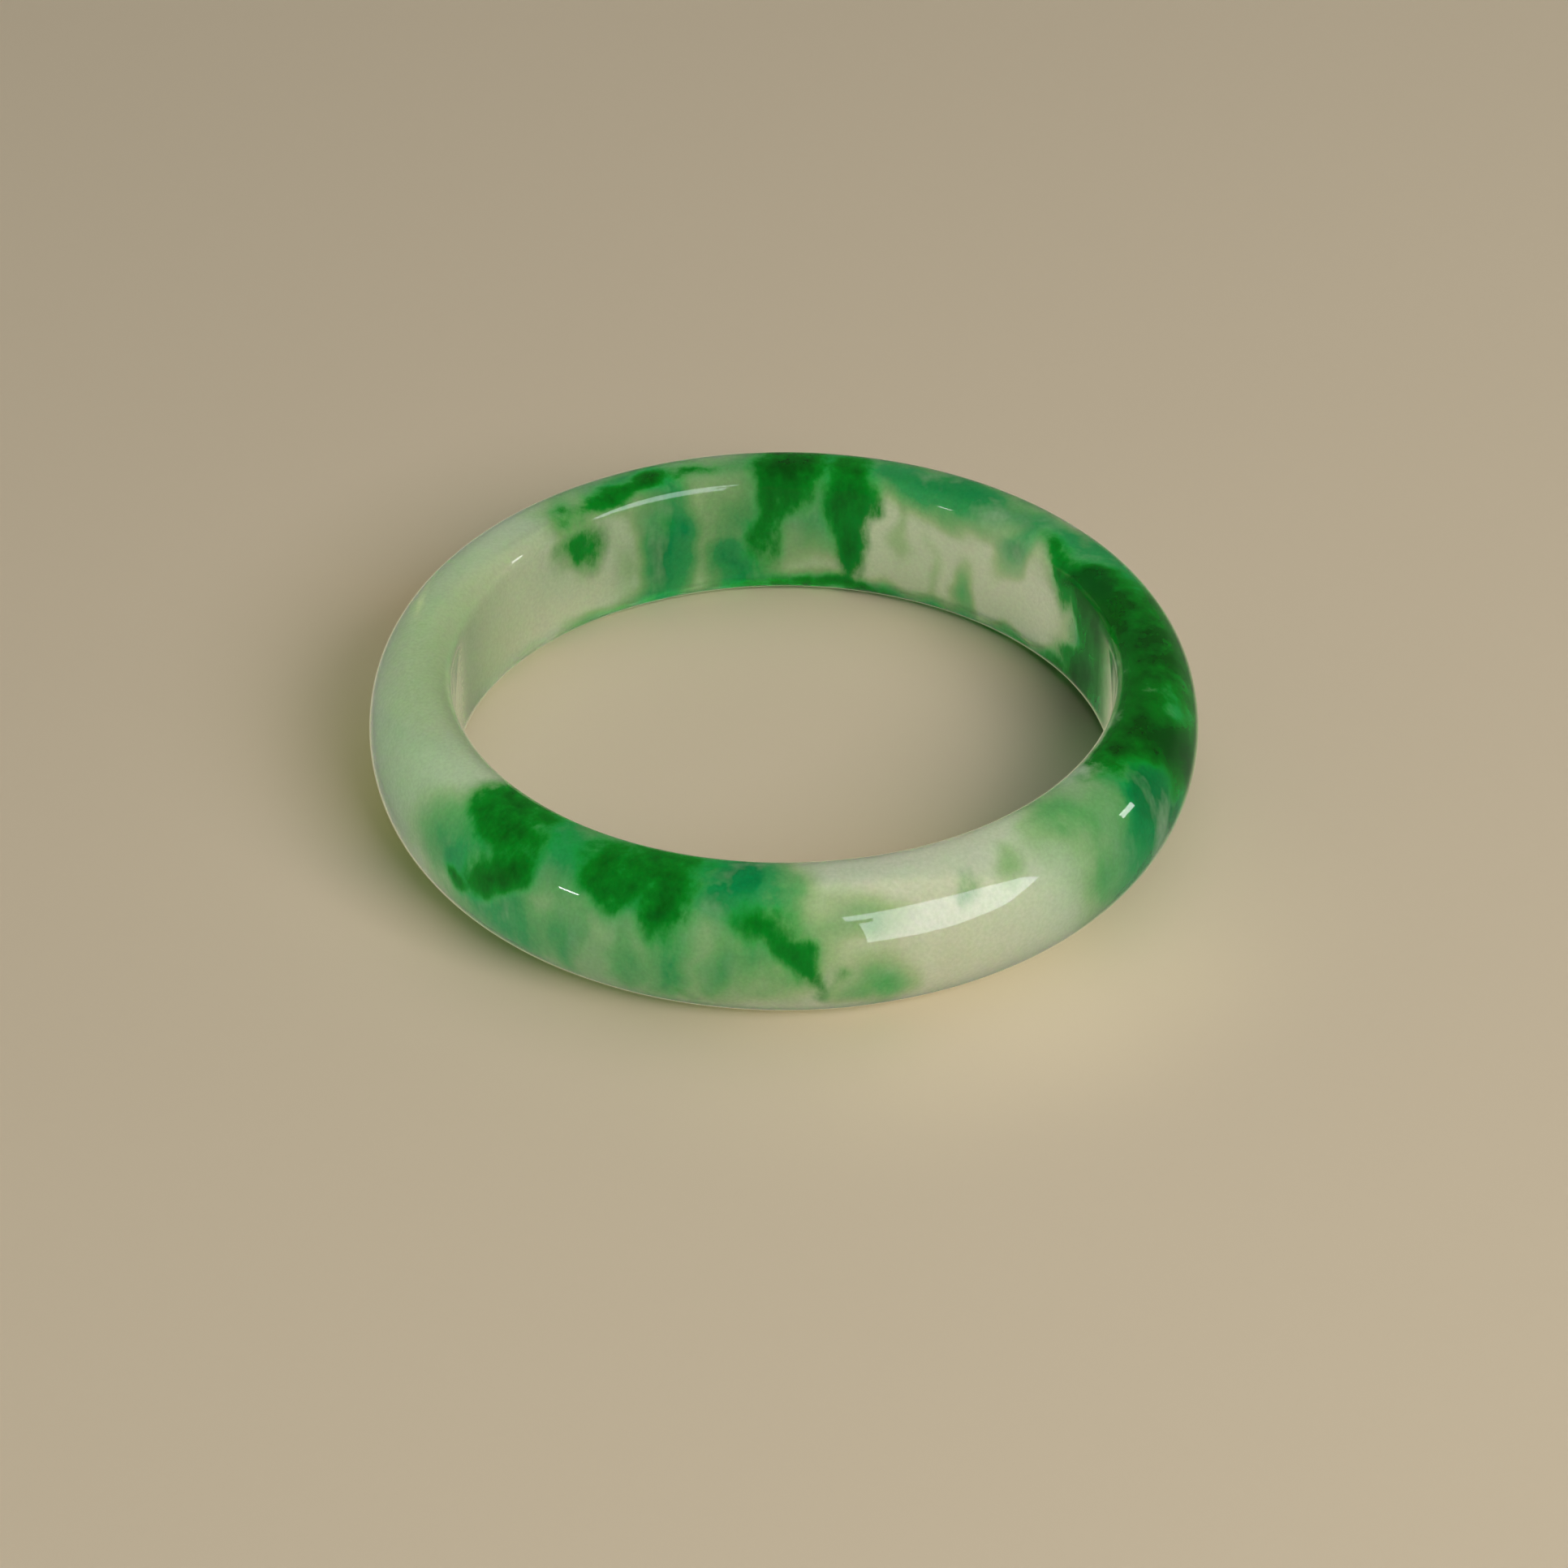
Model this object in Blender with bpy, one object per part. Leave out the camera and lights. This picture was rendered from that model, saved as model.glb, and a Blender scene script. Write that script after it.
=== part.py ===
"""A jade bangle: one closed ring carved and polished from a single piece of stone.

The ring lies flat on its lower edge. The world origin is on the ring's axis, at
the height of the surface that it rests on, and +Z is the ring's axis.
Lengths are in metres.
"""

from math import cos, pi, radians, sin

import bmesh
import bpy
from mathutils import Matrix, Vector

# Driving dimensions
BORE_RADIUS = 0.0280  # the wrist opening: a common 56 mm bangle
WALL_THICKNESS = 0.0072  # from the bore to the crown of the outside
WALL_HEIGHT = 0.0129  # along the axis, which is how high it stands when it lies flat
BORE_EDGE_RADIUS = 0.0020  # the rounding where the bore meets the upper and lower edges
LAND_WIDTH = 0.0009  # the flat ring that the polishing lap leaves on each edge

# Facets
RING_STEPS = 120
EDGE_STEPS = 5
CROWN_STEPS = 16

SMOOTH_UP_TO = radians(30)


def clear_scene():
    for obj in list(bpy.data.objects):
        bpy.data.objects.remove(obj, do_unlink=True)


def arc(centre, radius_out, radius_up, start, end, steps):
    """Points of an elliptical arc in the (radius, height) half plane, both ends included."""
    points = []
    for step in range(steps + 1):
        angle = start + (end - start) * step / steps
        points.append(
            (centre[0] + radius_out * cos(angle), centre[1] + radius_up * sin(angle))
        )
    return points


def wall_profile():
    """The closed D-shaped section, anticlockwise from the foot of the bore's lower rounding.

    A straight bore side, a small quarter round at each of its ends, a narrow flat
    land on the lower and the upper edge, and a half ellipse for the domed outside.
    """
    edge = BORE_EDGE_RADIUS
    edge_centre = BORE_RADIUS + edge
    crown_centre = edge_centre + LAND_WIDTH
    crown_depth = WALL_THICKNESS - edge - LAND_WIDTH
    lower_edge = arc((edge_centre, edge), edge, edge, pi, 1.5 * pi, EDGE_STEPS)
    crown = arc(
        (crown_centre, WALL_HEIGHT / 2),
        crown_depth,
        WALL_HEIGHT / 2,
        -pi / 2,
        pi / 2,
        CROWN_STEPS,
    )
    upper_edge = arc(
        (edge_centre, WALL_HEIGHT - edge), edge, edge, pi / 2, pi, EDGE_STEPS
    )
    return lower_edge + crown + upper_edge


def ring_mesh(name):
    """The section spun once around the axis and closed on itself."""
    shape = bmesh.new()
    corners = [shape.verts.new((r, 0, z)) for r, z in wall_profile()]
    section = [
        shape.edges.new((corners[i], corners[(i + 1) % len(corners)]))
        for i in range(len(corners))
    ]
    bmesh.ops.spin(
        shape,
        geom=corners + section,
        cent=Vector((0, 0, 0)),
        axis=Vector((0, 0, 1)),
        angle=2 * pi,
        steps=RING_STEPS,
        use_merge=True,
    )
    bmesh.ops.transform(
        shape,
        matrix=Matrix.Rotation(pi / RING_STEPS, 4, "Z"),
        verts=list(shape.verts),
    )
    bmesh.ops.recalc_face_normals(shape, faces=list(shape.faces))
    mesh = bpy.data.meshes.new(name)
    shape.to_mesh(mesh)
    shape.free()
    mesh.shade_smooth()
    mesh.set_sharp_from_angle(angle=SMOOTH_UP_TO)
    return mesh


def jade():
    """Polished icy jadeite: a pale, milky green stone with a glassy gloss."""
    material = bpy.data.materials.new("polished_jadeite")
    material.use_nodes = True
    surface = material.node_tree.nodes["Principled BSDF"]
    surface.inputs["Base Color"].default_value = (0.20, 0.45, 0.19, 1)
    surface.inputs["Roughness"].default_value = 0.12
    surface.inputs["Metallic"].default_value = 0.0
    surface.inputs["IOR"].default_value = 1.66
    return material


def main():
    clear_scene()
    ring = bpy.data.objects.new("jade_ring", ring_mesh("jade_ring"))
    ring.data.materials.append(jade())
    bpy.context.scene.collection.objects.link(ring)


main()
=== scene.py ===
# %% [markdown]
# # A jade bangle
#
# The real object is one closed ring, sawn, bored, ground and polished from a
# single piece of pale, see-through jade with clouds of green in it. There is
# nothing to assemble, so the lesson is about two things: a turned shape that a
# rule can draw, and a stone that light goes into before it comes back out.
#
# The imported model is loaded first. It fixes every size, and nothing in this
# file moves or resizes it.

# %% Load the frame
from math import cos, pi, radians, sin

import bpy
import numpy as np
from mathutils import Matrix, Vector


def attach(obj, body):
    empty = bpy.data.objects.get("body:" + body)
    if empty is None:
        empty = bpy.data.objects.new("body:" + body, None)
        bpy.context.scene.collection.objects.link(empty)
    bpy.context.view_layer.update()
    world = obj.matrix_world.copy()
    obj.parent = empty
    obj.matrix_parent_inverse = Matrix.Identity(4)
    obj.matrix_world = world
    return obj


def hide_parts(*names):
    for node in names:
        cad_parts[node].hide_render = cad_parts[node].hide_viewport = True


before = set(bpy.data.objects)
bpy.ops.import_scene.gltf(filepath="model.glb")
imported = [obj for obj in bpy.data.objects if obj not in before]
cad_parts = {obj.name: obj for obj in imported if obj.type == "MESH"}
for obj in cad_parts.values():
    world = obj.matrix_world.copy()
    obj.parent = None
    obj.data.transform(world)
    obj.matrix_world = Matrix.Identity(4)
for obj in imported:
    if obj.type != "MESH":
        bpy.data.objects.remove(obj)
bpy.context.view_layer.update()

# %% [markdown]
# ## The sizes of the ring
#
# A bangle's section is a letter D lying on its back: a straight wall against
# the wrist, a dome outside, a small rounding where the two meet, and a narrow
# flat land that the polishing lap leaves on the upper and lower edge. All five
# sizes can be read off the frame's points, so no number is typed twice.

# %% Read the section's sizes
MM = 0.001
TOUCH = 0.01 * MM

points = np.array([v.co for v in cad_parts["jade_ring"].data.vertices])
radii = np.hypot(points[:, 0], points[:, 1])
heights = points[:, 2]
on_land = radii[heights > heights.max() - TOUCH]

bore_radius = float(radii.min())
crown_radius = float(radii.max())
wall_height = float(heights.max() - heights.min())
edge_radius = float(on_land.min()) - bore_radius
land_width = float(on_land.max() - on_land.min())
crown_depth = crown_radius - float(on_land.max())
wall_thickness = crown_radius - bore_radius
print(f"bore {2000 * bore_radius:.1f} mm across, wall {1000 * wall_thickness:.1f} mm thick")
print(f"height {1000 * wall_height:.1f} mm, edges rounded to {1000 * edge_radius:.1f} mm")

# %% [markdown]
# ## Two helpers
#
# Every node below is added by one function: it makes the node, applies its
# settings, and fills each input with a value or a link. The other function
# turns a colour as a designer writes it, sRGB hex, into the linear values that
# Blender's shaders add up.

# %% Helpers
def add_node(tree, kind, inputs=None, **settings):
    node = tree.nodes.new(kind)
    for name, value in settings.items():
        setattr(node, name, value)
    for socket, value in (inputs or {}).items():
        if isinstance(value, bpy.types.NodeSocket):
            tree.links.new(value, node.inputs[socket])
        else:
            node.inputs[socket].default_value = value
    return node


def linear(hex_colour):
    channels = [int(hex_colour[i : i + 2], 16) / 255 for i in (1, 3, 5)]
    return (
        *[c / 12.92 if c <= 0.04045 else ((c + 0.055) / 1.055) ** 2.4 for c in channels],
        1.0,
    )


# %% [markdown]
# ## Polished jadeite: where a point is in the stone
#
# The green runs through the stone, so the pattern is worked out from a point's
# place in the ring and not from a flat image wrapped on it. Object coordinates
# give that place. For clouds that follow the ring, the place is unrolled into
# three lengths in millimetres: round the ring, up the wall, and out from the
# axis. The unrolled strip ends at the plain pale side, where no cloud crosses.

# %% Start the stone's material
jade = bpy.data.materials.new("polished_jadeite")
jade.use_nodes = True
stone = jade.node_tree
stone.nodes.clear()

BORE_MM = bore_radius / MM
MEAN_RADIUS_MM = (bore_radius + crown_radius) / 2 / MM

place = add_node(stone, "ShaderNodeTexCoord").outputs["Object"]
place_mm = add_node(
    stone, "ShaderNodeVectorMath", {0: place, "Scale": 1000.0}, operation="SCALE"
).outputs[0]
xyz = add_node(stone, "ShaderNodeSeparateXYZ", {0: place_mm}).outputs
turn = add_node(stone, "ShaderNodeMath", {0: xyz["Y"], 1: xyz["X"]}, operation="ARCTAN2").outputs[0]
round_mm = add_node(stone, "ShaderNodeMath", {0: turn, 1: MEAN_RADIUS_MM}, operation="MULTIPLY").outputs[0]
flat = add_node(stone, "ShaderNodeCombineXYZ", {0: xyz["X"], 1: xyz["Y"]}).outputs[0]
out_mm = add_node(stone, "ShaderNodeVectorMath", {0: flat}, operation="LENGTH").outputs["Value"]
unrolled = add_node(
    stone, "ShaderNodeCombineXYZ", {0: round_mm, 1: xyz["Z"], 2: out_mm}
).outputs[0]
print(f"one degree round is {radians(1) * MEAN_RADIUS_MM:.2f} mm")

# %% [markdown]
# ## Edges that wander and fray
#
# A cloud in jade has no outline. Its edge wanders over a few millimetres and
# then frays into fine wisps. Two noises push the unrolled place about before
# the clouds are drawn. The broad one moves every cloud. The fine one, stretched
# upwards because this stone's streaks run that way, moves only the strong
# clouds and the specks. Both read the stone's own three-dimensional place, so
# they have no seam.

# %% Push the place about
WANDER_MM = 5.0
WANDER_PUSH_MM = 1.1
FRAY_MM = 1.2
FRAY_PUSH_MM = 0.20
UPWARD_STRETCH = 0.45
NOISE_LOW, NOISE_HIGH = 0.3, 0.7  # nearly all of a noise lies between these
NOISE_REACH = 0.25  # how far a noise strays from one half


def noise_at(where, size_mm, detail, roughness, output="Fac"):
    """A noise whose blobs are about size_mm across; detail adds finer ones on top."""
    settings = {"Vector": where, "Scale": 1 / size_mm, "Detail": detail, "Roughness": roughness}
    return add_node(stone, "ShaderNodeTexNoise", settings).outputs[output]


def push(where, size_mm, reach_mm, detail):
    """A vector of up to about reach_mm each way that changes over size_mm."""
    noise = noise_at(where, size_mm, detail, 0.55, "Color")
    centred = add_node(
        stone, "ShaderNodeVectorMath", {0: noise, 1: (0.5, 0.5, 0.5)}, operation="SUBTRACT"
    )
    inputs = {0: centred.outputs[0], "Scale": reach_mm / NOISE_REACH}
    return add_node(stone, "ShaderNodeVectorMath", inputs, operation="SCALE").outputs[0]


streaked = add_node(
    stone, "ShaderNodeVectorMath", {0: place_mm, 1: (1.0, 1.0, UPWARD_STRETCH)}, operation="MULTIPLY"
).outputs[0]
wander = push(place_mm, WANDER_MM, WANDER_PUSH_MM, 1.0)
fray = push(streaked, FRAY_MM, FRAY_PUSH_MM, 4.0)
soft_place = add_node(stone, "ShaderNodeVectorMath", {0: unrolled, 1: wander}, operation="ADD").outputs[0]
ragged_place = add_node(stone, "ShaderNodeVectorMath", {0: soft_place, 1: fray}, operation="ADD").outputs[0]
print(f"edges wander by about {WANDER_PUSH_MM} mm and fray by about {FRAY_PUSH_MM} mm")

# %% [markdown]
# ## The clouds of green
#
# Each cloud is a soft ellipsoid somewhere in the wall, and where clouds overlap
# their strengths add up. A row gives the cloud's place (degrees round the ring
# from the right-hand side, millimetres up and out), its half sizes round, up and
# out in millimetres, its lean in degrees, and how much green it holds. A cloud
# that holds less than nothing clears a gap in its neighbours.
#
# There are two lists. A veil is broad, thin and bluish, as green looks through
# millimetres of milky stone. A patch is near the surface, strong and pure.

# %% Place the veils
VEILS = [
    # angle, up, out, half round, half up, half out, lean, green
    # the right side, from the front round to the back
    (-45, 12.3, 31.0, 6.6, 4.6, 5.4, 0, 0.48),
    (-26, 9.8, 34.2, 5.0, 5.0, 5.0, 0, 0.55),
    (-23, 8.0, 35.0, 5.0, 6.0, 4.0, 0, 0.60),
    (-31, 7.0, 34.6, 12.0, 12.0, 7.0, 0, 0.85),
    (-29, 11.4, 33.0, 4.6, 4.2, 4.6, 0, 0.90),
    (0, 8.0, 34.4, 22.0, 13.0, 7.0, 0, 1.25),
    (20, 12.3, 31.6, 13.0, 6.5, 5.4, 0, 0.90),
    (16, 5.5, 28.5, 11.0, 12.0, 4.8, 0, 1.00),
    (57, 12.4, 30.0, 26.0, 4.2, 5.2, 0, 0.92),
    (44.5, 9.6, 28.3, 2.2, 5.2, 3.6, 38, 0.66),
    (55, 3.9, 28.3, 2.4, 4.8, 3.6, 0, 0.60),
    # the back
    (81, 9.0, 29.5, 5.0, 8.4, 7.2, 0, 0.62),
    (92, 9.0, 29.5, 8.0, 9.6, 8.4, 0, 0.75),
    (98, 3.0, 28.5, 5.5, 4.0, 4.2, 30, 0.75),
    (104, 7.5, 28.3, 6.0, 9.0, 4.0, 0, 0.34),
    (112.5, 6.2, 28.6, 4.4, 11.0, 4.8, 0, 1.10),
    (118, 12.9, 30.8, 14.0, 3.0, 5.3, 0, 0.72),
    (131, 10.0, 28.4, 4.6, 5.0, 4.0, 0, 0.40),
    # the foot of the back wall
    (32, 0.4, 28.6, 17.0, 2.8, 3.6, 0, 0.95),
    (62, 0.4, 28.6, 12.0, 2.8, 3.6, 0, 0.90),
    (88, 0.4, 28.6, 14.0, 2.8, 3.6, 0, 0.90),
    (122, 0.4, 28.6, 16.0, 2.8, 3.6, 0, 0.60),
    (146, 0.4, 28.6, 9.0, 2.4, 3.6, 0, 0.30),
    # the front left
    (-130, 12.4, 31.5, 8.6, 4.8, 6.6, 0, 0.85),
    (-110, 12.2, 31.5, 12.0, 5.8, 6.6, 0, 0.85),
    (-95, 12.3, 31.2, 6.6, 5.0, 6.0, 0, 0.95),
    (-132, 5.5, 34.8, 9.6, 10.0, 6.0, 0, 0.70),
    (-108, 6.0, 34.8, 16.0, 9.6, 6.0, 0, 0.42),
    (-91, 8.6, 34.6, 7.0, 6.4, 5.0, 20, 0.42),
    (-78, 4.8, 34.6, 4.4, 4.8, 3.6, 0, 0.60),
    (-80, 10.6, 34.2, 4.6, 2.6, 3.6, 0, 0.42),
    # streaks that hang below the front patches
    (-120, 6.0, 35.0, 1.8, 6.5, 4.0, 0, 0.22),
    (-111, 5.5, 35.0, 1.8, 6.0, 4.0, 4, 0.22),
    (-104.5, 6.0, 35.0, 1.8, 7.0, 4.0, -4, 0.30),
    (-99, 5.5, 35.0, 1.6, 5.0, 4.0, 5, 0.24),
    (-143, 9.0, 34.2, 6.0, 7.0, 5.0, -15, 0.38),
    (-57, 11.6, 33.2, 2.4, 2.0, 3.6, 0, 0.30),
    # faint streaks on the back wall
    (68, 8.0, 28.4, 1.6, 5.0, 3.0, 0, 0.26),
    (62, 5.0, 28.4, 1.4, 5.0, 3.0, 0, 0.20),
    (121, 5.0, 28.4, 2.0, 5.0, 3.0, 0, 0.20),
]
print(len(VEILS), "veils")

# %% Place the patches
PATCHES = [
    # angle, up, out, half round, half up, half out, lean, green
    # the dark mass on the right
    (-31.5, 12.9, 29.9, 5.0, 2.6, 4.0, 0, 1.00),
    (-12, 12.6, 29.4, 13.0, 4.2, 4.8, 0, 1.00),
    (-24.5, 12.4, 31.6, 5.5, 3.0, 4.0, 0, 0.90),
    (-18.5, 10.0, 34.0, 4.6, 9.0, 6.0, 40, 1.20),
    (4, 12.0, 31.0, 13.0, 4.4, 5.0, 0, 0.70),
    (6, 8.0, 34.2, 20.0, 13.0, 6.5, 0, 1.20),
    (15, 12.4, 29.2, 14.0, 4.4, 4.6, 0, 1.00),
    (20, 12.7, 28.9, 7.0, 2.1, 2.8, 0, 0.55),
    (29, 12.2, 28.6, 8.4, 2.0, 3.0, 0, 0.95),
    (16, 7.0, 28.4, 8.4, 12.0, 4.2, 0, 1.05),
    (24, 3.0, 28.3, 6.6, 4.0, 3.4, 0, 1.00),
    (25, 9.6, 28.4, 6.0, 4.4, 3.4, 0, 0.90),
    (27, 6.6, 28.2, 2.4, 2.6, 2.0, -30, -0.90),
    # the back
    (77.5, 8.0, 29.4, 3.8, 12.0, 6.7, 0, 1.50),
    (88.5, 11.8, 29.6, 6.8, 5.4, 6.3, 0, 1.05),
    (92.5, 6.5, 28.6, 3.6, 7.3, 4.1, 0, 0.90),
    (90, 12.8, 29.6, 4.9, 2.2, 3.7, 0, 0.45),
    (112.8, 8.9, 28.4, 2.2, 2.7, 3.2, 0, 0.37),
    (130, 9.6, 28.2, 6.4, 4.4, 6.5, 0, 0.95),
    (117, 12.9, 29.4, 15.0, 1.8, 2.6, 0, 1.20),
    (113.5, 12.9, 30.0, 3.4, 2.2, 2.8, 0, 0.70),
    # the foot of the back wall
    (33, 0.5, 28.5, 14.0, 2.2, 3.2, 0, 0.95),
    (64, 0.4, 28.5, 12.0, 1.8, 3.2, 0, 0.60),
    (87, 0.5, 28.5, 13.0, 2.2, 3.2, 0, 1.00),
    (115, 0.6, 28.5, 3.7, 1.5, 2.9, 0, 0.40),
    # the front left
    (-133, 12.4, 31.2, 8.4, 5.4, 6.4, 0, 1.20),
    (-132, 8.4, 35.0, 2.9, 6.8, 5.0, -52, 1.25),
    (-140.5, 5.4, 35.0, 2.2, 2.6, 3.6, -20, 0.90),
    (-110, 12.4, 31.2, 8.3, 5.1, 5.9, 0, 1.05),
    (-105.5, 10.2, 34.1, 2.7, 4.6, 3.9, 0, 0.85),
    (-114.5, 11.2, 33.6, 2.9, 3.7, 4.1, 0, 0.60),
    (-93, 10.0, 34.2, 4.6, 3.2, 3.9, 0, 0.84),
    (-88, 7.6, 35.1, 2.2, 4.0, 3.4, 30, 0.90),
    (-84.5, 4.4, 34.9, 2.2, 3.4, 3.4, 15, 0.70),
    (-103, 2.9, 34.5, 1.6, 2.2, 3.2, 0, 0.44),
    (-113, 4.5, 35.0, 1.2, 2.0, 3.2, 0, 0.32),
    (-77.5, 4.4, 34.8, 2.4, 2.8, 3.0, 0, 0.36),
    (-65, 11.5, 33.4, 2.4, 2.0, 2.9, 0, 0.70),
]
print(len(PATCHES), "patches")

# %% [markdown]
# A cloud is a Gradient Texture, the kind that is 1 in the middle of a ball and
# 0 outside it. A Mapping node stretches, leans and places the ball, and a smooth
# ramp turns its straight fall into a soft one. A function does this for every
# row and adds the results.

# %% Draw clouds from rows
def cloud_sum(rows, where, sharpness):
    """The rows' strengths added up; sharpness 1 fades all the way in, less leaves a full core."""
    total = None
    for angle, up, out, half_round, half_up, half_out, lean, amount in rows:
        held = add_node(
            stone,
            "ShaderNodeMapping",
            {
                "Vector": where,
                "Location": (radians(angle) * MEAN_RADIUS_MM, up, out),
                "Rotation": (0, 0, radians(lean)),
                "Scale": (half_round, half_up, half_out),
            },
            vector_type="TEXTURE",
        )
        ball = add_node(stone, "ShaderNodeTexGradient", {0: held.outputs[0]}, gradient_type="SPHERICAL")
        strength = add_node(
            stone,
            "ShaderNodeMapRange",
            {"Value": ball.outputs["Fac"], "From Max": sharpness, "To Max": amount},
            interpolation_type="SMOOTHSTEP",
        ).outputs[0]
        if total is None:
            total = strength
        else:
            total = add_node(stone, "ShaderNodeMath", {0: total, 1: strength}, operation="ADD").outputs[0]
    return total


# %% [markdown]
# The whole left side has one faint, even veil. It is a ramp straight across the
# ring and not a cloud, so it has no seam where the unrolled strip ends.

# %% Add the clouds up
LEFT_VEIL = 0.17
LEFT_STARTS_MM = -20.0
LEFT_FULL_MM = -33.0
VEIL_SHARPNESS = 0.95
PATCH_SHARPNESS = 0.96

left_side = add_node(
    stone,
    "ShaderNodeMapRange",
    {"Value": xyz["X"], "From Min": LEFT_STARTS_MM, "From Max": LEFT_FULL_MM, "To Max": LEFT_VEIL},
    interpolation_type="SMOOTHSTEP",
).outputs[0]
clouds = cloud_sum(VEILS, soft_place, VEIL_SHARPNESS)
veil = add_node(stone, "ShaderNodeMath", {0: clouds, 1: left_side}, operation="ADD").outputs[0]
patch = cloud_sum(PATCHES, ragged_place, PATCH_SHARPNESS)
print(len(stone.nodes), "nodes so far")

# %% [markdown]
# ## Mottling
#
# Inside a cloud the green is never even: jade is a felt of fine crystals, and
# the colour sits between them. A streaky noise of about a millimetre and a half
# thins and thickens the green.

# %% Mottle the green
MOTTLE_MM = 1.5

mottle = noise_at(streaked, MOTTLE_MM, 5.0, 0.6)


def varied(value, low, high):
    """The value times a number between low and high that follows the mottling."""
    factor = add_node(
        stone,
        "ShaderNodeMapRange",
        {"Value": mottle, "From Min": NOISE_LOW, "From Max": NOISE_HIGH, "To Min": low, "To Max": high},
    ).outputs[0]
    return add_node(stone, "ShaderNodeMath", {0: value, 1: factor}, operation="MULTIPLY").outputs[0]


veil = varied(veil, 0.85, 1.15)
patch = varied(patch, 0.62, 1.25)
print(f"mottled every {MOTTLE_MM} mm or so")

# %% [markdown]
# ## From green to colour
#
# One ramp takes the milky stone through a soft leaf green to a bluish green as
# the veil thickens. Another takes the patches from a pure bright green to one
# so deep that it looks nearly black. The stronger a patch is, the more of the
# veil it covers.

# %% Colour ramps
def ramp(value, steps):
    """A colour ramp through (position, sRGB hex) steps, the first at 0 and the last at 1."""
    node = add_node(stone, "ShaderNodeValToRGB", {0: value})
    elements = node.color_ramp.elements
    elements[0].color = linear(steps[0][1])
    elements[1].color = linear(steps[-1][1])
    for position, hex_colour in steps[1:-1]:
        elements.new(position).color = linear(hex_colour)
    return node.outputs["Color"]


FULL_VEIL = 1.4
FULL_PATCH = 1.5
PATCH_SHOWS_AT = 0.04
PATCH_COVERS_AT = 0.74
VEIL_COLOURS = [
    (0.0, "#EBF6E4"),
    (0.16, "#B8DCAA"),
    (0.32, "#78C57E"),
    (0.51, "#2CA85E"),
    (0.73, "#008C4A"),
    (1.0, "#00743A"),
]
PATCH_COLOURS = [
    (0.0, "#22A64C"),
    (0.25, "#04A034"),
    (0.52, "#007E16"),
    (0.76, "#00660E"),
    (1.0, "#005004"),
]

veil_depth = add_node(stone, "ShaderNodeMath", {0: veil, 1: FULL_VEIL}, operation="DIVIDE").outputs[0]
patch_depth = add_node(stone, "ShaderNodeMath", {0: patch, 1: FULL_PATCH}, operation="DIVIDE").outputs[0]
veil_colour = ramp(veil_depth, VEIL_COLOURS)
patch_colour = ramp(patch_depth, PATCH_COLOURS)
cover = add_node(
    stone,
    "ShaderNodeMapRange",
    {"Value": patch, "From Min": PATCH_SHOWS_AT, "From Max": PATCH_COVERS_AT},
    interpolation_type="SMOOTHSTEP",
).outputs[0]


def mixed_colour(factor, under, over):
    """The under colour covered by the over colour as far as the factor says."""
    node = add_node(stone, "ShaderNodeMix", {0: factor, 6: under, 7: over}, data_type="RGBA")
    return node.outputs[2]


layered = mixed_colour(cover, veil_colour, patch_colour)
print(len(VEIL_COLOURS), "veil colours under", len(PATCH_COLOURS), "patch colours")

# %% [markdown]
# ## Cotton, grain and specks
#
# Pale jade isn't clear either. Whitish wisps that the trade calls cotton hang
# in it, its crystals give it a fine grain, and here and there is a speck or a
# stain of a darker mineral. The real grain is a few hundredths of a millimetre,
# too fine to draw, so it is drawn at a third of a millimetre.

# %% Add cotton and grain
COTTON_MM = 6.0
COTTON_COLOUR = linear("#E2E4D4")
COTTON_STARTS_AT = 0.50
COTTON_FULL_AT = 0.80
MOST_COTTON = 0.45
GRAIN_MM = 0.33
GRAIN_DEPTH = 0.07

cotton = add_node(
    stone,
    "ShaderNodeMapRange",
    {
        "Value": noise_at(streaked, COTTON_MM, 4.0, 0.6),
        "From Min": COTTON_STARTS_AT,
        "From Max": COTTON_FULL_AT,
        "To Max": MOST_COTTON,
    },
).outputs[0]
clouded = mixed_colour(cotton, layered, mixed_colour(cover, COTTON_COLOUR, layered))

grain = add_node(
    stone,
    "ShaderNodeMapRange",
    {
        "Value": noise_at(place_mm, GRAIN_MM, 2.0, 0.6),
        "From Min": NOISE_LOW,
        "From Max": NOISE_HIGH,
        "To Min": 1 - GRAIN_DEPTH,
        "To Max": 1 + GRAIN_DEPTH,
    },
).outputs[0]
grained = add_node(
    stone, "ShaderNodeVectorMath", {0: clouded, "Scale": grain}, operation="SCALE"
).outputs[0]
print(f"cotton every {COTTON_MM} mm, grain every {GRAIN_MM} mm")

# %% Add specks
SPECK_COLOUR = linear("#00420A")
SPECK_SHARPNESS = 0.8
SPECKS = [
    # angle, up, out, half round, half up, half out, lean, how dark
    (-30.6, 12.9, 30.2, 1.1, 0.8, 1.2, 0, 1.0),
    (-32.6, 12.9, 29.6, 0.9, 0.8, 0.8, 0, 0.9),
    (23, 12.6, 28.9, 6.0, 1.9, 2.4, 0, 0.75),
    (4, 12.8, 29.4, 5.0, 1.6, 2.4, 0, 0.35),
    (20, 4.0, 28.2, 3.6, 3.2, 2.0, 0, 0.35),
    (-18, 10.0, 34.0, 4.2, 7.5, 4.5, 40, 0.70),
    (91, 12.3, 29.2, 4.0, 2.8, 3.0, 0, 0.40),
    (-105.6, 10.3, 34.3, 0.9, 1.3, 1.0, 0, 0.6),
]
speck = cloud_sum(SPECKS, ragged_place, SPECK_SHARPNESS)
colour = mixed_colour(speck, grained, SPECK_COLOUR)
print(len(SPECKS), "specks")

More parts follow.
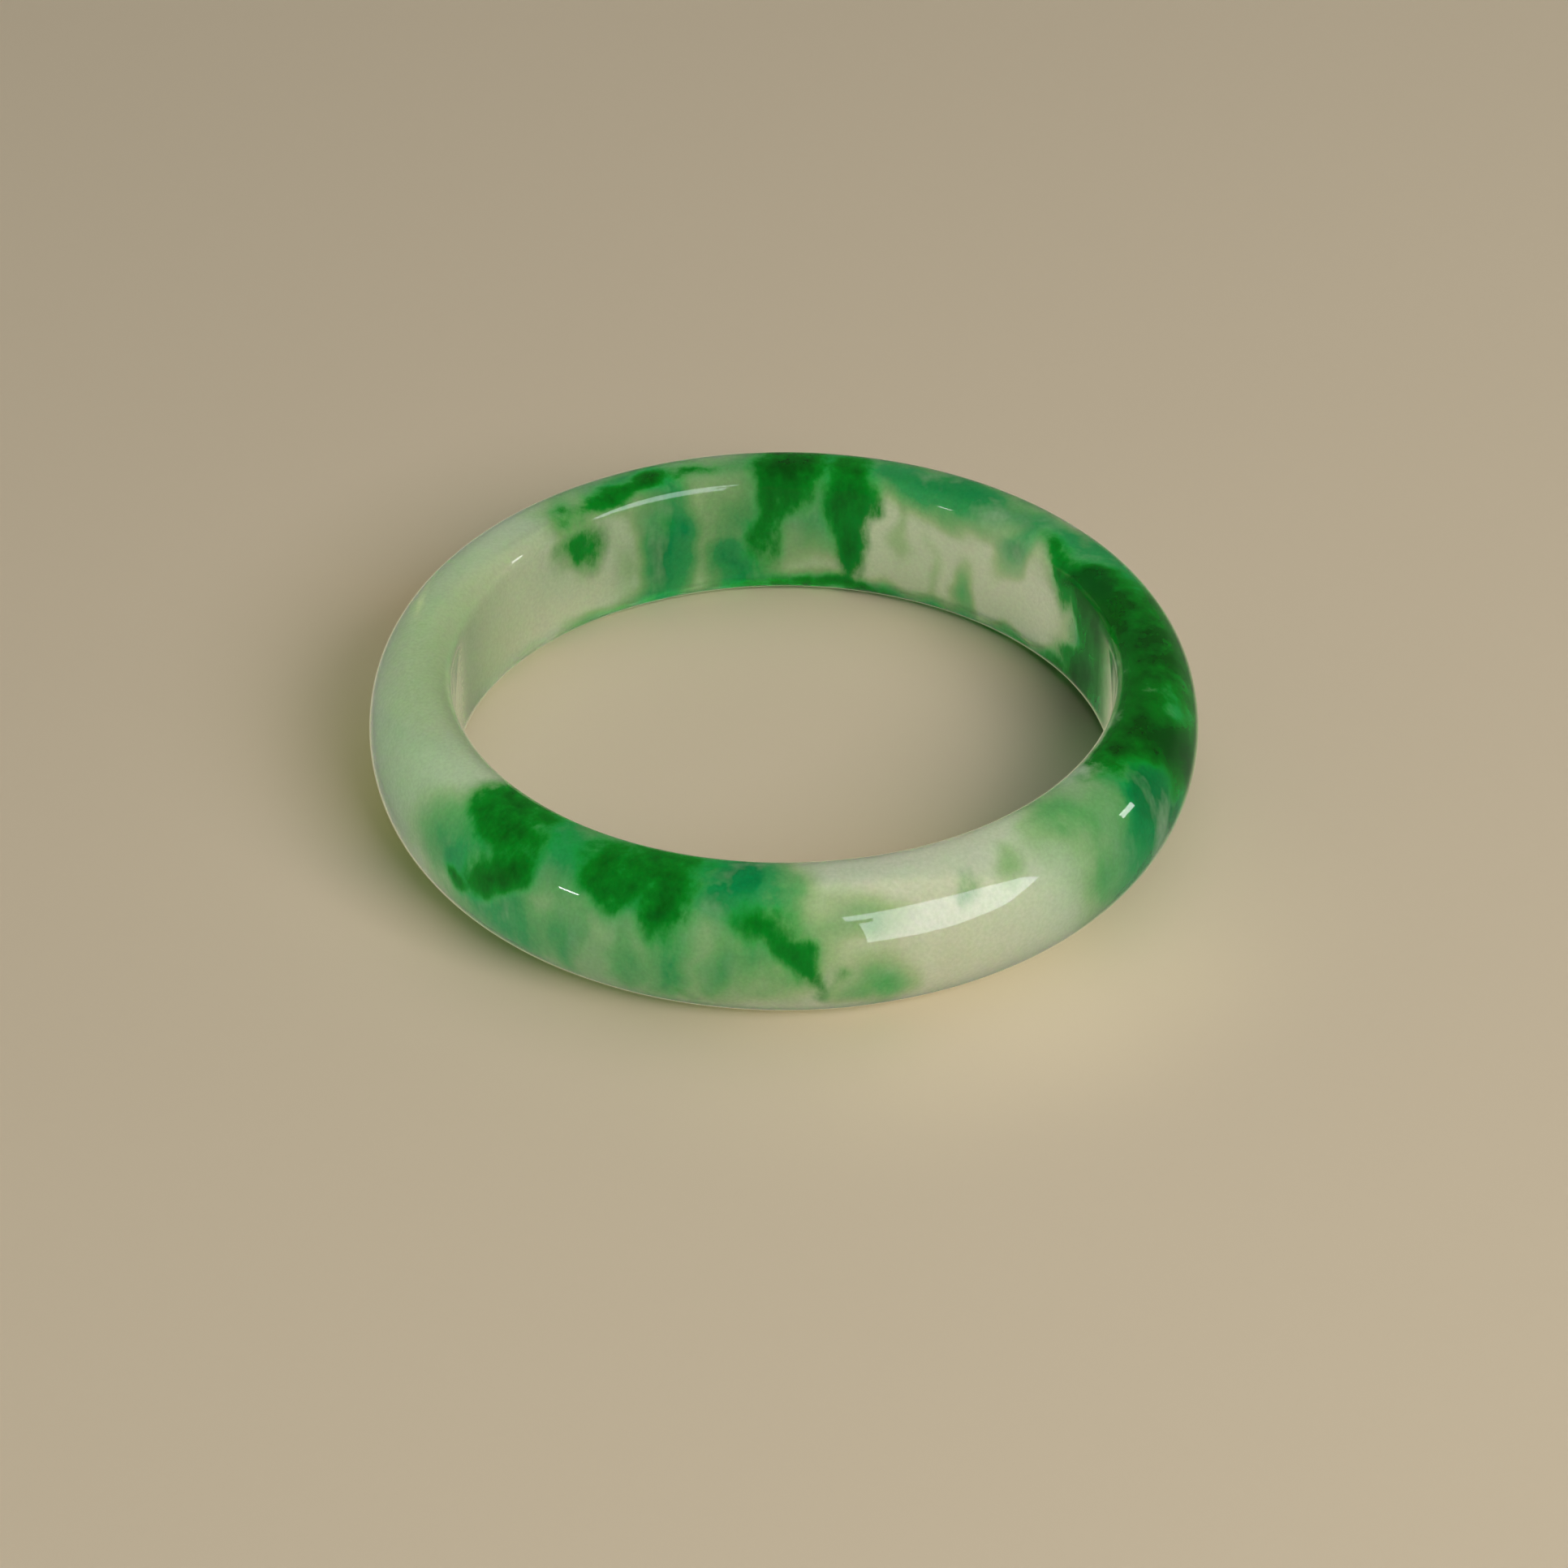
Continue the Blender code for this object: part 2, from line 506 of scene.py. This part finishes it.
# %% [markdown]
# ## How much light gets through
#
# Polished jadeite is a glossy skin over a body that light enters. Some of the
# light goes straight through, bent and blurred, so the floor's cream shows in
# the palest parts. The rest is scattered back by the crystals, and that is what
# makes the stone milky. The more green there is, the less gets through. The
# flat wall of the bore looks clearer than the dome, which the eye meets at a
# slant and so looks through a greater depth of milk.

# %% Work out the clear share
CLEAR_AT_BORE = 0.80
CLEAR_AT_DOME = 0.69
CLEAR_IN_GREEN = 0.42
BORE_ENDS_MM = BORE_MM + 0.3
DOME_STARTS_MM = BORE_MM + 2.5
GREEN_DIMS_FROM = 0.30
GREEN_DIMS_TO = 1.5

green_held = add_node(stone, "ShaderNodeMath", {0: veil, 1: patch}, operation="ADD").outputs[0]
clear_share = add_node(
    stone,
    "ShaderNodeMapRange",
    {
        "Value": out_mm,
        "From Min": BORE_ENDS_MM,
        "From Max": DOME_STARTS_MM,
        "To Min": CLEAR_AT_BORE,
        "To Max": CLEAR_AT_DOME,
    },
    interpolation_type="SMOOTHSTEP",
).outputs[0]
passes = add_node(
    stone,
    "ShaderNodeMapRange",
    {
        "Value": green_held,
        "From Min": GREEN_DIMS_FROM,
        "From Max": GREEN_DIMS_TO,
        "To Min": clear_share,
        "To Max": CLEAR_IN_GREEN,
    },
    interpolation_type="SMOOTHSTEP",
).outputs[0]
print(f"clear share {CLEAR_AT_BORE} at the bore, {CLEAR_AT_DOME} at the dome, {CLEAR_IN_GREEN} in green")

# %% [markdown]
# ## The body and its polish
#
# One Principled surface holds it all: transmission for the light that passes,
# subsurface for the light that comes back, and a coat for the polish. The coat
# is the only thing that mirrors the room, so highlights have crisp edges while
# the body stays soft. It is there only where light comes from outside: inside
# the stone there is nothing to polish. Hand polish leaves a faint orange peel,
# drawn at about 2 mm across and a few thousandths of a millimetre deep.
#
# Jadeite's index of refraction is about 1.66, and the coat's 1.6 is close to
# it. The body's index is lower, a chosen 1.36. The body mirrors nothing:
# its specular level and tint are zero.
#
# A shadow ray goes through the stone and takes its colour at each face that it
# crosses, so the shade on the floor is green where the stone is.

# %% Stone surface
ORANGE_PEEL_MM = 2.2
ORANGE_PEEL_DEPTH = 0.003 * MM

orange_peel = add_node(
    stone,
    "ShaderNodeBump",
    {
        "Height": noise_at(place_mm, ORANGE_PEEL_MM, 2.0, 0.5),
        "Strength": 1.0,
        "Distance": ORANGE_PEEL_DEPTH,
    },
).outputs[0]
from_inside = add_node(stone, "ShaderNodeNewGeometry").outputs["Backfacing"]
from_outside = add_node(
    stone, "ShaderNodeMath", {0: 1.0, 1: from_inside}, operation="SUBTRACT"
).outputs[0]
surface = add_node(
    stone,
    "ShaderNodeBsdfPrincipled",
    {
        "Base Color": colour,
        "Roughness": 0.22,
        "IOR": 1.36,
        "Transmission Weight": passes,
        "Subsurface Weight": 1.0,
        "Subsurface Radius": (0.7, 1.0, 0.6),
        "Subsurface Scale": 4 * MM,
        "Specular IOR Level": 0.0,
        "Specular Tint": (0.0, 0.0, 0.0, 1.0),
        "Coat Weight": from_outside,
        "Coat Roughness": 0.006,
        "Coat IOR": 1.6,
        "Coat Normal": orange_peel,
    },
)
print("surface:", surface.name)

# %% Coloured shade
SHADE_PER_FACE = (1.0, 0.80, 0.71)  # red, green and blue kept, on top of the stone's own colour

shade = add_node(
    stone, "ShaderNodeVectorMath", {0: colour, 1: SHADE_PER_FACE}, operation="MULTIPLY"
).outputs[0]
tinted_light = add_node(stone, "ShaderNodeBsdfTransparent", {"Color": shade}).outputs[0]
is_shadow = add_node(stone, "ShaderNodeLightPath").outputs["Is Shadow Ray"]
either = add_node(
    stone, "ShaderNodeMixShader", {0: is_shadow, 1: surface.outputs[0], 2: tinted_light}
).outputs[0]
add_node(stone, "ShaderNodeOutputMaterial", {"Surface": either})
print(len(stone.nodes), "nodes in", jade.name)

# %% [markdown]
# ## The ring
#
# A real bangle is cut with a core drill, ground round and polished by hand. Its
# shape is what a lathe gives: one section swept round a circle. Geometry Nodes
# draw the section from the lines and arcs of a letter D, cut it into even steps
# and sweep it. The sizes are inputs of the tree, so the same rule gives a bangle
# of any size.
#
# The section's curves all run the same way round and meet end to end. They are
# joined in reverse order because a join puts the last link first.

# %% Name the ring's sizes
ROUND_STEPS = 540
ARC_POINTS = 48

ring_tree = bpy.data.node_groups.new("swept_bangle", "GeometryNodeTree")
ring_tree.is_modifier = True
ring_tree.interface.new_socket("Geometry", in_out="OUTPUT", socket_type="NodeSocketGeometry")

RING_SIZES = {
    "Bore Radius": bore_radius,
    "Edge Radius": edge_radius,
    "Land Width": land_width,
    "Crown Depth": crown_depth,
    "Wall Height": wall_height,
    "Step": 0.35 * MM,
    "Polish Waves": 0.02 * MM,
}
sockets = {
    name: ring_tree.interface.new_socket(name, in_out="INPUT", socket_type="NodeSocketFloat")
    for name in RING_SIZES
}
given = add_node(ring_tree, "NodeGroupInput").outputs
print("inputs:", ", ".join(RING_SIZES))

# %% Draw the section
def sum_of(a, b, operation="ADD"):
    return add_node(ring_tree, "ShaderNodeMath", {0: a, 1: b}, operation=operation).outputs[0]


def point_at(out, up):
    return add_node(ring_tree, "ShaderNodeCombineXYZ", {0: out, 1: up}).outputs[0]


def line(start, end):
    return add_node(ring_tree, "GeometryNodeCurvePrimitiveLine", {"Start": start, "End": end}).outputs[0]


def bend(centre, radius_out, radius_up, start_deg, sweep_deg):
    """A circular arc squeezed to two radii, from one angle through another, in degrees."""
    arc = add_node(
        ring_tree,
        "GeometryNodeCurveArc",
        {
            "Resolution": ARC_POINTS,
            "Radius": 1.0,
            "Start Angle": radians(start_deg),
            "Sweep Angle": radians(sweep_deg),
        },
    )
    scale = add_node(ring_tree, "ShaderNodeCombineXYZ", {0: radius_out, 1: radius_up, 2: 1.0}).outputs[0]
    return add_node(
        ring_tree,
        "GeometryNodeTransform",
        {"Geometry": arc.outputs["Curve"], "Translation": centre, "Scale": scale},
    ).outputs[0]


edge = given["Edge Radius"]
land_end = sum_of(edge, given["Land Width"])
top = given["Wall Height"]
below_top = sum_of(top, edge, "SUBTRACT")
half = sum_of(top, 0.5, "MULTIPLY")

strips = [
    line(point_at(0.0, below_top), point_at(0.0, edge)),
    bend(point_at(edge, edge), edge, edge, 180, 90),
    line(point_at(edge, 0.0), point_at(land_end, 0.0)),
    bend(point_at(land_end, half), given["Crown Depth"], half, -90, 180),
    line(point_at(land_end, top), point_at(edge, top)),
    bend(point_at(edge, below_top), edge, edge, 90, 90),
]
section = add_node(ring_tree, "GeometryNodeJoinGeometry")
for strip in reversed(strips):
    ring_tree.links.new(strip, section.inputs[0])
even = add_node(
    ring_tree,
    "GeometryNodeResampleCurve",
    {"Curve": section.outputs[0], "Length": given["Step"]},
    mode="LENGTH",
).outputs[0]
print(len(strips), "strips in the section")

# %% [markdown]
# Each strip is swept into a band of its own, and the bands are welded where
# they meet, which closes the ring. The section hangs below its path and is the
# same either way up, so the ring is only lifted to stand on the floor.

# %% Sweep the section round
WELD = 0.001 * MM
print(f"one step round the dome is {1000 * 2 * pi * crown_radius / ROUND_STEPS:.2f} mm")

path = add_node(
    ring_tree,
    "GeometryNodeCurvePrimitiveCircle",
    {"Resolution": ROUND_STEPS, "Radius": given["Bore Radius"]},
).outputs["Curve"]
upright = add_node(ring_tree, "GeometryNodeSetCurveNormal", {"Curve": path}, mode="Z_UP").outputs[0]
swept = add_node(
    ring_tree, "GeometryNodeCurveToMesh", {"Curve": upright, "Profile Curve": even}
).outputs[0]
welded = add_node(
    ring_tree, "GeometryNodeMergeByDistance", {"Geometry": swept, "Distance": WELD}
).outputs[0]
lift = add_node(ring_tree, "ShaderNodeCombineXYZ", {2: top}).outputs[0]
standing = add_node(
    ring_tree, "GeometryNodeTransform", {"Geometry": welded, "Translation": lift}
).outputs[0]

# %% [markdown]
# Hand polishing leaves the surface a hundredth of a millimetre out of true, in
# waves about a centimetre long. They can't be seen as shape, but a highlight
# that crosses them has a line that is slightly alive.

# %% Polish it by hand
WAVE_LENGTH = 9 * MM

own_place = add_node(ring_tree, "GeometryNodeInputPosition").outputs[0]
waves = add_node(
    ring_tree, "ShaderNodeTexNoise", {"Vector": own_place, "Scale": 1 / WAVE_LENGTH, "Detail": 1.0}
).outputs["Fac"]
swing = sum_of(sum_of(waves, 0.5, "SUBTRACT"), 2.0, "MULTIPLY")
depth = sum_of(swing, given["Polish Waves"], "MULTIPLY")
normal = add_node(ring_tree, "GeometryNodeInputNormal").outputs[0]
along_normal = add_node(
    ring_tree, "ShaderNodeVectorMath", {0: normal, "Scale": depth}, operation="SCALE"
).outputs[0]
polished = add_node(
    ring_tree, "GeometryNodeSetPosition", {"Geometry": standing, "Offset": along_normal}
).outputs[0]
smooth = add_node(ring_tree, "GeometryNodeSetShadeSmooth", {"Geometry": polished}).outputs[0]
real = add_node(ring_tree, "GeometryNodeRealizeInstances", {"Geometry": smooth}).outputs[0]
dressed = add_node(
    ring_tree, "GeometryNodeSetMaterial", {"Geometry": real, "Material": jade}
).outputs[0]
add_node(ring_tree, "NodeGroupOutput", {"Geometry": dressed})
print(len(ring_tree.nodes), "nodes in", ring_tree.name)

# %% [markdown]
# The tree runs once, on an empty object, and its result is kept as a plain
# mesh. The imported model's part is hidden, and the new mesh rides on the
# root body.

# %% Keep the ring as a mesh
host = bpy.data.objects.new("ring_host", bpy.data.meshes.new("ring_host"))
bpy.context.scene.collection.objects.link(host)
sweep = host.modifiers.new("Sweep", "NODES")
sweep.node_group = ring_tree
for name, size in RING_SIZES.items():
    sweep[sockets[name].identifier] = size

graph = bpy.context.evaluated_depsgraph_get()
ring_mesh = bpy.data.meshes.new_from_object(host.evaluated_get(graph), depsgraph=graph)
bpy.data.objects.remove(host, do_unlink=True)
ring_mesh.name = "bangle"
ring = bpy.data.objects.new("bangle", ring_mesh)
bpy.context.scene.collection.objects.link(ring)

corners = np.array([v.co for v in ring_mesh.vertices])
print("ring:", len(corners), "points, size in mm", np.round(1000 * np.ptp(corners, axis=0), 2))

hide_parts("jade_ring")
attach(ring, "root")

# %% [markdown]
# ## The floor
#
# A plain pale floor, the cream of limestone. It lies a twentieth of a
# millimetre below the ring so that the two surfaces don't fight. The polish
# doesn't mirror it, because its reflection would wash the deep greens grey.

# %% Floor
FLOOR_HALF = 3.0
FLOOR_GAP = 0.05 * MM

floor_material = bpy.data.materials.new("pale_floor")
floor_material.use_nodes = True
floor_surface = floor_material.node_tree.nodes["Principled BSDF"]
floor_surface.inputs["Base Color"].default_value = linear("#D5C7B0")
floor_surface.inputs["Roughness"].default_value = 0.7

floor_corners = [(x * FLOOR_HALF, y * FLOOR_HALF, 0) for x, y in ((-1, -1), (1, -1), (1, 1), (-1, 1))]
floor_mesh = bpy.data.meshes.new("floor")
floor_mesh.from_pydata(floor_corners, [], [(0, 1, 2, 3)])
floor_mesh.materials.append(floor_material)
floor = bpy.data.objects.new("floor", floor_mesh)
floor.location.z = -FLOOR_GAP
floor.visible_glossy = False
bpy.context.scene.collection.objects.link(floor)
print(f"floor {2 * FLOOR_HALF:.0f} m across")

# %% [markdown]
# ## Soft light
#
# A big soft box in front on the right gives the shape, and a larger one
# overhead fills the shadows. Neither is mirrored, because a polished ring would
# show them as white sheets. Two small lamps are there only to be mirrored: they
# give the short bright glints on the left and on the right.

# %% Soft boxes and glints
def towards(azimuth, elevation):
    """The direction from the ring at this many degrees round and up."""
    az, el = radians(azimuth), radians(elevation)
    return Vector((cos(el) * cos(az), cos(el) * sin(az), sin(el)))


def facing_ring(obj, azimuth, elevation, distance):
    """Put the object that far away in that direction, with its face to the ring."""
    heading = towards(azimuth, elevation)
    obj.location = heading * distance
    obj.rotation_euler = heading.to_track_quat("Z", "Y").to_euler()


def softbox(name, azimuth, elevation, distance, width, height, watts, hex_colour, mirrored=False):
    lamp = bpy.data.lights.new(name, "AREA")
    lamp.shape = "RECTANGLE"
    lamp.size = width
    lamp.size_y = height
    lamp.energy = watts
    lamp.color = linear(hex_colour)[:3]
    box = bpy.data.objects.new(name, lamp)
    facing_ring(box, azimuth, elevation, distance)
    box.visible_camera = False
    box.visible_glossy = mirrored
    box.visible_transmission = False
    bpy.context.scene.collection.objects.link(box)
    return box


# name, degrees round, degrees up, metres away, width, height, watts, colour
softbox("key", -50, 37, 1.0, 0.7, 0.5, 9.0, "#FBF6EC")
softbox("overhead", 60, 75, 2.2, 2.2, 2.2, 11.3, "#F6F8FA")
softbox("left glint", -145, 11, 1.0, 0.10, 0.025, 0.14, "#FFFFFF", mirrored=True)
softbox("right glint", 8, 6, 1.0, 0.09, 0.12, 0.22, "#FFFFFF", mirrored=True)
print(", ".join(lamp.name for lamp in bpy.data.lights))

# %% [markdown]
# The long highlight is a window. Its picture on the dome has a slot at one end
# and a slanted point at the other, so the window is a glowing card cut to that
# shape. It lights nothing: only reflections see it.

# %% Hang the window
WINDOW_OUTLINE = [  # metres across and up the card, in order round its edge
    (-0.43, 0.26),
    (-0.43, 0.13),
    (-0.30, 0.12),
    (-0.30, 0.05),
    (-0.38, 0.04),
    (-0.38, -0.42),
    (0.04, -0.42),
    (0.30, -0.36),
    (0.50, -0.10),
    (0.40, 0.06),
    (0.20, 0.20),
    (0.0, 0.26),
]
WINDOW_GLOW = 4.4

window_paint = bpy.data.materials.new("window_glow")
window_paint.use_nodes = True
window_paint.node_tree.nodes.clear()
glow = add_node(
    window_paint.node_tree, "ShaderNodeEmission", {"Color": linear("#E8F1FB"), "Strength": WINDOW_GLOW}
)
add_node(window_paint.node_tree, "ShaderNodeOutputMaterial", {"Surface": glow.outputs[0]})

window_mesh = bpy.data.meshes.new("window")
window_face = tuple(reversed(range(len(WINDOW_OUTLINE))))
window_mesh.from_pydata([(x, y, 0) for x, y in WINDOW_OUTLINE], [], [window_face])
window_mesh.materials.append(window_paint)
window = bpy.data.objects.new("window", window_mesh)
facing_ring(window, -50, 13, 1.0)
window.visible_camera = False
window.visible_shadow = False
window.visible_diffuse = False
window.visible_transmission = False
bpy.context.scene.collection.objects.link(window)
print(len(WINDOW_OUTLINE), "corners in the window")

# %% [markdown]
# ## Light for one thing only
#
# Some light is linked to the ring alone, so that it doesn't wash out the shade
# on the floor: a fill from the left, weak ones from above and from the front
# right, and a thin strip inside the ring that makes the foot of the back wall
# glow as it does when light runs down inside the stone.
#
# A clear ring also gathers light and throws it out in front of it. Path tracing
# is slow to find that, so a row of soft spots draws it, linked to the floor.

# %% Light the ring alone
ring_only = bpy.data.collections.new("lights for the ring")
ring_only.objects.link(ring)

# name, degrees round, degrees up, metres away, width, height, watts, colour
left_fill = softbox("left fill", -168, 15, 1.0, 0.5, 0.5, 7.4, "#F3F6FF")
top_fill = softbox("top fill", -170, 80, 1.0, 0.6, 0.6, 0.9, "#F6FAF4")
front_fill = softbox("front fill", -46, 15, 1.0, 0.5, 0.5, 2.2, "#E8FFEA")
foot_strip = softbox("foot strip", -62, 4, 0.012, 0.036, 0.001, 0.0012, "#FBFFE8")
foot_strip.data.spread = radians(12)
for lamp in (left_fill, top_fill, front_fill, foot_strip):
    lamp.light_linking.receiver_collection = ring_only
    print(f"{lamp.name}: {lamp.data.energy:.4f} W")

# %% Draw the gathered light
GATHERED = [(-84, 0.17), (-66, 0.33), (-48, 0.35), (-31, 0.18)]  # degrees round, watts
GATHERED_OUT = 0.039  # just outside the ring's outer edge
GATHERED_UP = 0.4
GATHERED_WIDTH = radians(4.8)
GATHERED_COLOUR = linear("#FFFBD0")[:3]

floor_only = bpy.data.collections.new("lights for the floor")
floor_only.objects.link(floor)
for azimuth, watts in GATHERED:
    gathered = bpy.data.lights.new("gathered light", "SPOT")
    gathered.energy = watts
    gathered.color = GATHERED_COLOUR
    gathered.spot_size = GATHERED_WIDTH
    gathered.spot_blend = 1.0
    gathered.shadow_soft_size = 0.005
    lamp = bpy.data.objects.new("gathered light", gathered)
    lamp.location = towards(azimuth, 0) * GATHERED_OUT + Vector((0, 0, GATHERED_UP))
    lamp.light_linking.receiver_collection = floor_only
    lamp.light_linking.blocker_collection = floor_only
    bpy.context.scene.collection.objects.link(lamp)
print(len(bpy.data.lights), "lights")

# %% [markdown]
# The room is dim, and a little brighter below the horizon, which is what the
# polish sees in place of the floor. One soft patch of it, low behind the ring,
# is nearly as bright and as cream as the floor. From the camera's side only a
# grazing look is mirrored there, so the ring's outline melts into the floor
# instead of being drawn dark.

# %% Room
ROOM_COLOUR = linear("#CCCDBC")[:3]
FLOOR_LIGHT = linear("#B9B193")
LOW_BEHIND = towards(90, -36)
CREAM_EDGE = radians(28)
CREAM_CORE = radians(10)

world = bpy.data.worlds.new("room")
bpy.context.scene.world = world
world.use_nodes = True
room = world.node_tree
heading = add_node(room, "ShaderNodeTexCoord").outputs["Generated"]
upward = add_node(room, "ShaderNodeSeparateXYZ", {0: heading}).outputs["Z"]
brightness = add_node(
    room,
    "ShaderNodeMapRange",
    {"Value": upward, "From Min": 0.05, "From Max": -0.15, "To Min": 0.12, "To Max": 0.18},
).outputs[0]
room_light = add_node(
    room, "ShaderNodeVectorMath", {0: ROOM_COLOUR, "Scale": brightness}, operation="SCALE"
).outputs[0]
nearness = add_node(
    room, "ShaderNodeVectorMath", {0: heading, 1: LOW_BEHIND}, operation="DOT_PRODUCT"
).outputs["Value"]
floor_share = add_node(
    room,
    "ShaderNodeMapRange",
    {"Value": nearness, "From Min": cos(CREAM_EDGE), "From Max": cos(CREAM_CORE)},
    interpolation_type="SMOOTHSTEP",
).outputs[0]
seen = add_node(
    room, "ShaderNodeMix", {0: floor_share, 6: room_light, 7: FLOOR_LIGHT}, data_type="RGBA"
).outputs[2]
room.links.new(seen, room.nodes["Background"].inputs["Color"])
print(len(room.nodes), "nodes in the room's light")

# %% [markdown]
# ## The camera
#
# It looks down at 36 degrees from well under half a metre away, with a long
# lens that keeps the ring's ellipse calm. The Standard view keeps the greens as
# deep as they are painted.

# %% Camera
CAMERA_ELEVATION = 36.1
CAMERA_DISTANCE = 0.384
LENS_MM = 102.5
SENSOR_MM = 36
AIM = Vector((0, 0, -0.0009))

camera_data = bpy.data.cameras.new("camera")
camera_data.lens = LENS_MM
camera_data.sensor_width = SENSOR_MM
camera = bpy.data.objects.new("camera", camera_data)
camera.location = towards(-90, CAMERA_ELEVATION) * CAMERA_DISTANCE
camera.rotation_euler = (camera.location - AIM).to_track_quat("Z", "Y").to_euler()
bpy.context.scene.collection.objects.link(camera)
bpy.context.scene.camera = camera
bpy.context.scene.view_settings.view_transform = "Standard"
print(f"camera {CAMERA_DISTANCE} m away, {CAMERA_ELEVATION} degrees up, {LENS_MM} mm lens")
